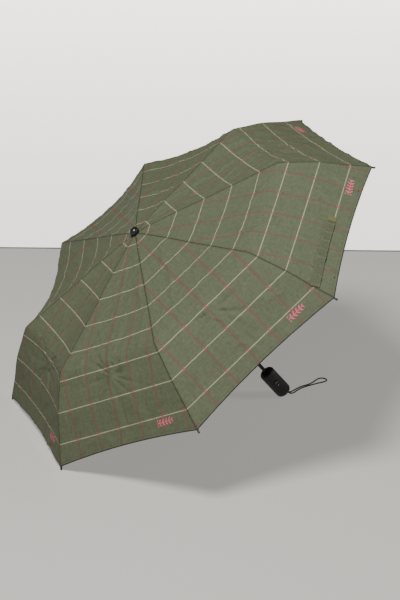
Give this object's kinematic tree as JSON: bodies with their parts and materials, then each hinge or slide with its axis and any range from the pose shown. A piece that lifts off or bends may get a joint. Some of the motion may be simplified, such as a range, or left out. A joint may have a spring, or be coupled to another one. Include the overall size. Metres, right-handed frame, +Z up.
{
  "type": "folding umbrella",
  "caption": "Open folding umbrella with a domed checked canopy on hinged folding ribs, a telescopic shaft and a short handle with a push button and wrist cord.",
  "frame": {"origin": "centre of the bottom of the open umbrella's box, on the floor it rests on, without the wrist cord", "axes": "+Z up; +Y along the canopy's widest extent, level; +X level, from the canopy's two resting tips towards the handle; the shaft leans 40 degrees from vertical, handle down towards +X"},
  "size_m": [0.7103, 0.9044, 0.5972],
  "materials": {
    "canopy_cloth": "woven polyester",
    "tie_cloth": "woven polyester",
    "rib_steel": "zinc plated",
    "dark_steel": "black painted",
    "black_plastic": "moulded, satin",
    "grip_rubber": "matte coating",
    "gloss_plastic": "moulded, glossy",
    "cord": "braided cord",
    "spring_wire": "spring wire"
  },
  "bodies": {
    "handle": {"handle_grip": "grip_rubber", "handle_core": "black_plastic", "handle_collar": "gloss_plastic", "handle_end_plug": "black_plastic", "lower_tube": "dark_steel", "button_spring": "spring_wire", "wrist_strap": "cord"},
    "button_body": {"button": "gloss_plastic"},
    "middle_shaft": {"middle_tube": "dark_steel"},
    "upper_shaft": {"upper_tube": "dark_steel", "crown": "black_plastic", "crown_wire": "spring_wire", "top_cap": "gloss_plastic", "canopy": "canopy_cloth"},
    "runner_body": {"runner": "black_plastic", "runner_wire": "spring_wire"},
    "main_1": {"main_rib_1": "rib_steel"},
    "middle_1": {"middle_rib_1": "rib_steel"},
    "outer_1": {"outer_rib_1": "rib_steel"},
    "stretch_1": {"stretcher_1": "rib_steel"},
    "link_1": {"control_link_1": "rib_steel"},
    "main_2": {"main_rib_2": "rib_steel"},
    "middle_2": {"middle_rib_2": "rib_steel"},
    "outer_2": {"outer_rib_2": "rib_steel"},
    "stretch_2": {"stretcher_2": "rib_steel"},
    "link_2": {"control_link_2": "rib_steel"},
    "main_3": {"main_rib_3": "rib_steel"},
    "middle_3": {"middle_rib_3": "rib_steel"},
    "outer_3": {"outer_rib_3": "rib_steel"},
    "stretch_3": {"stretcher_3": "rib_steel"},
    "link_3": {"control_link_3": "rib_steel"},
    "main_4": {"main_rib_4": "rib_steel"},
    "middle_4": {"middle_rib_4": "rib_steel"},
    "outer_4": {"outer_rib_4": "rib_steel"},
    "stretch_4": {"stretcher_4": "rib_steel"},
    "link_4": {"control_link_4": "rib_steel"},
    "main_5": {"main_rib_5": "rib_steel"},
    "middle_5": {"middle_rib_5": "rib_steel"},
    "outer_5": {"outer_rib_5": "rib_steel"},
    "stretch_5": {"stretcher_5": "rib_steel"},
    "link_5": {"control_link_5": "rib_steel"},
    "main_6": {"main_rib_6": "rib_steel"},
    "middle_6": {"middle_rib_6": "rib_steel"},
    "outer_6": {"outer_rib_6": "rib_steel"},
    "stretch_6": {"stretcher_6": "rib_steel"},
    "link_6": {"control_link_6": "rib_steel"},
    "main_7": {"main_rib_7": "rib_steel"},
    "middle_7": {"middle_rib_7": "rib_steel"},
    "outer_7": {"outer_rib_7": "rib_steel", "tie_strap": "tie_cloth"},
    "stretch_7": {"stretcher_7": "rib_steel"},
    "link_7": {"control_link_7": "rib_steel"},
    "main_8": {"main_rib_8": "rib_steel"},
    "middle_8": {"middle_rib_8": "rib_steel"},
    "outer_8": {"outer_rib_8": "rib_steel"},
    "stretch_8": {"stretcher_8": "rib_steel"},
    "link_8": {"control_link_8": "rib_steel"}
  },
  "joints": [
    {"name": "shaft_slide", "type": "slide", "parent": "middle_shaft", "child": "upper_shaft", "axis": [0.6426, 0, -0.7662], "range_m": [0, 0.125]},
    {"name": "lower_shaft_slide", "type": "slide", "parent": "handle", "child": "middle_shaft", "axis": [0.6426, 0, -0.7662], "range_m": [0, 0.125]},
    {"name": "button_press", "type": "slide", "parent": "handle", "child": "button_body", "axis": [0, 1, 0], "range_m": [0, 0.003], "stiffness_N_per_m": 600, "springref_m": -0.002, "deforming": ["button_spring"]},
    {"name": "fold", "type": "hinge", "parent": "upper_shaft", "child": "main_1", "pos_m": [-0.10351, 0.0044, 0.43158], "axis": [-0.2932, 0.9239, -0.2459], "range_deg": [0, 79.21], "deforming": ["canopy", "tie_strap"]},
    {"name": "stretcher_hinge_1", "type": "hinge", "parent": "main_1", "child": "stretch_1", "pos_m": [-0.03087, 0.03833, 0.47244], "axis": [-0.2932, 0.9239, -0.2459], "range_deg": [-158.43, 0]},
    {"name": "middle_hinge_1", "type": "hinge", "parent": "main_1", "child": "middle_1", "pos_m": [0.0283, 0.06825, 0.51429], "axis": [-0.2932, 0.9239, -0.2459], "range_deg": [-176.5, 0]},
    {"name": "outer_hinge_1", "type": "hinge", "parent": "middle_1", "child": "outer_1", "pos_m": [0.15464, 0.128, 0.58814], "axis": [-0.2932, 0.9239, -0.2459], "range_deg": [0, 145.27]},
    {"name": "link_hinge_1", "type": "hinge", "parent": "stretch_1", "child": "link_1", "pos_m": [-0.02597, 0.04101, 0.47667], "axis": [-0.2932, 0.9239, -0.2459], "range_deg": [0, 158.61]},
    {"name": "main_hinge_2", "type": "hinge", "parent": "upper_shaft", "child": "main_2", "pos_m": [-0.10828, 0.01062, 0.42758], "axis": [-0.7079, 0.3827, -0.5937], "range_deg": [0, 79.21]},
    {"name": "stretcher_hinge_2", "type": "hinge", "parent": "main_2", "child": "stretch_2", "pos_m": [-0.0724, 0.09254, 0.43761], "axis": [-0.7079, 0.3827, -0.5937], "range_deg": [-158.43, 0]},
    {"name": "middle_hinge_2", "type": "hinge", "parent": "main_2", "child": "middle_2", "pos_m": [-0.04565, 0.16477, 0.45226], "axis": [-0.7079, 0.3827, -0.5937], "range_deg": [-176.5, 0]},
    {"name": "outer_hinge_2", "type": "hinge", "parent": "middle_2", "child": "outer_2", "pos_m": [0.01595, 0.30902, 0.47181], "axis": [-0.7079, 0.3827, -0.5937], "range_deg": [0, 145.27]},
    {"name": "link_hinge_2", "type": "hinge", "parent": "stretch_2", "child": "link_2", "pos_m": [-0.0704, 0.09901, 0.43939], "axis": [-0.7079, 0.3827, -0.5937], "range_deg": [0, 158.61]},
    {"name": "main_hinge_3", "type": "hinge", "parent": "upper_shaft", "child": "main_3", "pos_m": [-0.11502, 0.01062, 0.42192], "axis": [-0.7079, -0.3827, -0.5937], "range_deg": [0, 79.21]},
    {"name": "stretcher_hinge_3", "type": "hinge", "parent": "main_3", "child": "stretch_3", "pos_m": [-0.13114, 0.09254, 0.38834], "axis": [-0.7079, -0.3827, -0.5937], "range_deg": [-158.43, 0]},
    {"name": "middle_hinge_3", "type": "hinge", "parent": "main_3", "child": "middle_3", "pos_m": [-0.15023, 0.16477, 0.36455], "axis": [-0.7079, -0.3827, -0.5937], "range_deg": [-176.5, 0]},
    {"name": "outer_hinge_3", "type": "hinge", "parent": "middle_3", "child": "outer_3", "pos_m": [-0.18019, 0.30902, 0.30729], "axis": [-0.7079, -0.3827, -0.5937], "range_deg": [0, 145.27]},
    {"name": "link_hinge_3", "type": "hinge", "parent": "stretch_3", "child": "link_3", "pos_m": [-0.13325, 0.09901, 0.38669], "axis": [-0.7079, -0.3827, -0.5937], "range_deg": [0, 158.61]},
    {"name": "main_hinge_4", "type": "hinge", "parent": "upper_shaft", "child": "main_4", "pos_m": [-0.11979, 0.0044, 0.41792], "axis": [-0.2932, -0.9239, -0.2459], "range_deg": [0, 79.21]},
    {"name": "stretcher_hinge_4", "type": "hinge", "parent": "main_4", "child": "stretch_4", "pos_m": [-0.17267, 0.03833, 0.3535], "axis": [-0.2932, -0.9239, -0.2459], "range_deg": [-158.43, 0]},
    {"name": "middle_hinge_4", "type": "hinge", "parent": "main_4", "child": "middle_4", "pos_m": [-0.22418, 0.06825, 0.30252], "axis": [-0.2932, -0.9239, -0.2459], "range_deg": [-176.5, 0]},
    {"name": "outer_hinge_4", "type": "hinge", "parent": "middle_4", "child": "outer_4", "pos_m": [-0.31889, 0.128, 0.19097], "axis": [-0.2932, -0.9239, -0.2459], "range_deg": [0, 145.27]},
    {"name": "link_hinge_4", "type": "hinge", "parent": "stretch_4", "child": "link_4", "pos_m": [-0.17768, 0.04101, 0.34942], "axis": [-0.2932, -0.9239, -0.2459], "range_deg": [0, 158.61]},
    {"name": "main_hinge_5", "type": "hinge", "parent": "upper_shaft", "child": "main_5", "pos_m": [-0.11979, -0.0044, 0.41792], "axis": [0.2932, -0.9239, 0.2459], "range_deg": [0, 79.21]},
    {"name": "stretcher_hinge_5", "type": "hinge", "parent": "main_5", "child": "stretch_5", "pos_m": [-0.17267, -0.03833, 0.3535], "axis": [0.2932, -0.9239, 0.2459], "range_deg": [-158.43, 0]},
    {"name": "middle_hinge_5", "type": "hinge", "parent": "main_5", "child": "middle_5", "pos_m": [-0.22418, -0.06825, 0.30252], "axis": [0.2932, -0.9239, 0.2459], "range_deg": [-176.5, 0]},
    {"name": "outer_hinge_5", "type": "hinge", "parent": "middle_5", "child": "outer_5", "pos_m": [-0.31889, -0.128, 0.19097], "axis": [0.2932, -0.9239, 0.2459], "range_deg": [0, 145.27]},
    {"name": "link_hinge_5", "type": "hinge", "parent": "stretch_5", "child": "link_5", "pos_m": [-0.17768, -0.04101, 0.34942], "axis": [0.2932, -0.9239, 0.2459], "range_deg": [0, 158.61]},
    {"name": "main_hinge_6", "type": "hinge", "parent": "upper_shaft", "child": "main_6", "pos_m": [-0.11502, -0.01062, 0.42192], "axis": [0.7079, -0.3827, 0.5937], "range_deg": [0, 79.21]},
    {"name": "stretcher_hinge_6", "type": "hinge", "parent": "main_6", "child": "stretch_6", "pos_m": [-0.13114, -0.09254, 0.38834], "axis": [0.7079, -0.3827, 0.5937], "range_deg": [-158.43, 0]},
    {"name": "middle_hinge_6", "type": "hinge", "parent": "main_6", "child": "middle_6", "pos_m": [-0.15023, -0.16477, 0.36455], "axis": [0.7079, -0.3827, 0.5937], "range_deg": [-176.5, 0]},
    {"name": "outer_hinge_6", "type": "hinge", "parent": "middle_6", "child": "outer_6", "pos_m": [-0.18019, -0.30902, 0.30729], "axis": [0.7079, -0.3827, 0.5937], "range_deg": [0, 145.27]},
    {"name": "link_hinge_6", "type": "hinge", "parent": "stretch_6", "child": "link_6", "pos_m": [-0.13325, -0.09901, 0.38669], "axis": [0.7079, -0.3827, 0.5937], "range_deg": [0, 158.61]},
    {"name": "main_hinge_7", "type": "hinge", "parent": "upper_shaft", "child": "main_7", "pos_m": [-0.10828, -0.01062, 0.42758], "axis": [0.7079, 0.3827, 0.5937], "range_deg": [0, 79.21]},
    {"name": "stretcher_hinge_7", "type": "hinge", "parent": "main_7", "child": "stretch_7", "pos_m": [-0.0724, -0.09254, 0.43761], "axis": [0.7079, 0.3827, 0.5937], "range_deg": [-158.43, 0]},
    {"name": "middle_hinge_7", "type": "hinge", "parent": "main_7", "child": "middle_7", "pos_m": [-0.04565, -0.16477, 0.45226], "axis": [0.7079, 0.3827, 0.5937], "range_deg": [-176.5, 0]},
    {"name": "outer_hinge_7", "type": "hinge", "parent": "middle_7", "child": "outer_7", "pos_m": [0.01595, -0.30902, 0.47181], "axis": [0.7079, 0.3827, 0.5937], "range_deg": [0, 145.27]},
    {"name": "link_hinge_7", "type": "hinge", "parent": "stretch_7", "child": "link_7", "pos_m": [-0.0704, -0.09901, 0.43939], "axis": [0.7079, 0.3827, 0.5937], "range_deg": [0, 158.61]},
    {"name": "main_hinge_8", "type": "hinge", "parent": "upper_shaft", "child": "main_8", "pos_m": [-0.10351, -0.0044, 0.43158], "axis": [0.2932, 0.9239, 0.2459], "range_deg": [0, 79.21]},
    {"name": "stretcher_hinge_8", "type": "hinge", "parent": "main_8", "child": "stretch_8", "pos_m": [-0.03087, -0.03833, 0.47244], "axis": [0.2932, 0.9239, 0.2459], "range_deg": [-158.43, 0]},
    {"name": "middle_hinge_8", "type": "hinge", "parent": "main_8", "child": "middle_8", "pos_m": [0.0283, -0.06825, 0.51429], "axis": [0.2932, 0.9239, 0.2459], "range_deg": [-176.5, 0]},
    {"name": "outer_hinge_8", "type": "hinge", "parent": "middle_8", "child": "outer_8", "pos_m": [0.15464, -0.128, 0.58814], "axis": [0.2932, 0.9239, 0.2459], "range_deg": [0, 145.27]},
    {"name": "link_hinge_8", "type": "hinge", "parent": "stretch_8", "child": "link_8", "pos_m": [-0.02597, -0.04101, 0.47667], "axis": [0.2932, 0.9239, 0.2459], "range_deg": [0, 158.61]},
    {"name": "runner_hinge", "type": "hinge", "parent": "stretch_1", "child": "runner_body", "pos_m": [-0.08375, 0.0044, 0.40802], "axis": [-0.2932, 0.9239, -0.2459], "range_deg": [0, 79.21]}
  ],
  "couplings": [
    {"joint": "lower_shaft_slide", "follows": "shaft_slide", "ratio": 1},
    {"joint": "stretcher_hinge_1", "follows": "fold", "ratio": -2},
    {"joint": "middle_hinge_1", "follows": "fold", "ratio": -2.2282},
    {"joint": "outer_hinge_1", "follows": "fold", "ratio": 1.8339},
    {"joint": "link_hinge_1", "follows": "fold", "ratio": 2.0023},
    {"joint": "main_hinge_2", "follows": "fold", "ratio": 1},
    {"joint": "stretcher_hinge_2", "follows": "fold", "ratio": -2},
    {"joint": "middle_hinge_2", "follows": "fold", "ratio": -2.2282},
    {"joint": "outer_hinge_2", "follows": "fold", "ratio": 1.8339},
    {"joint": "link_hinge_2", "follows": "fold", "ratio": 2.0023},
    {"joint": "main_hinge_3", "follows": "fold", "ratio": 1},
    {"joint": "stretcher_hinge_3", "follows": "fold", "ratio": -2},
    {"joint": "middle_hinge_3", "follows": "fold", "ratio": -2.2282},
    {"joint": "outer_hinge_3", "follows": "fold", "ratio": 1.8339},
    {"joint": "link_hinge_3", "follows": "fold", "ratio": 2.0023},
    {"joint": "main_hinge_4", "follows": "fold", "ratio": 1},
    {"joint": "stretcher_hinge_4", "follows": "fold", "ratio": -2},
    {"joint": "middle_hinge_4", "follows": "fold", "ratio": -2.2282},
    {"joint": "outer_hinge_4", "follows": "fold", "ratio": 1.8339},
    {"joint": "link_hinge_4", "follows": "fold", "ratio": 2.0023},
    {"joint": "main_hinge_5", "follows": "fold", "ratio": 1},
    {"joint": "stretcher_hinge_5", "follows": "fold", "ratio": -2},
    {"joint": "middle_hinge_5", "follows": "fold", "ratio": -2.2282},
    {"joint": "outer_hinge_5", "follows": "fold", "ratio": 1.8339},
    {"joint": "link_hinge_5", "follows": "fold", "ratio": 2.0023},
    {"joint": "main_hinge_6", "follows": "fold", "ratio": 1},
    {"joint": "stretcher_hinge_6", "follows": "fold", "ratio": -2},
    {"joint": "middle_hinge_6", "follows": "fold", "ratio": -2.2282},
    {"joint": "outer_hinge_6", "follows": "fold", "ratio": 1.8339},
    {"joint": "link_hinge_6", "follows": "fold", "ratio": 2.0023},
    {"joint": "main_hinge_7", "follows": "fold", "ratio": 1},
    {"joint": "stretcher_hinge_7", "follows": "fold", "ratio": -2},
    {"joint": "middle_hinge_7", "follows": "fold", "ratio": -2.2282},
    {"joint": "outer_hinge_7", "follows": "fold", "ratio": 1.8339},
    {"joint": "link_hinge_7", "follows": "fold", "ratio": 2.0023},
    {"joint": "main_hinge_8", "follows": "fold", "ratio": 1},
    {"joint": "stretcher_hinge_8", "follows": "fold", "ratio": -2},
    {"joint": "middle_hinge_8", "follows": "fold", "ratio": -2.2282},
    {"joint": "outer_hinge_8", "follows": "fold", "ratio": 1.8339},
    {"joint": "link_hinge_8", "follows": "fold", "ratio": 2.0023},
    {"joint": "runner_hinge", "follows": "fold", "ratio": 1}
  ]
}
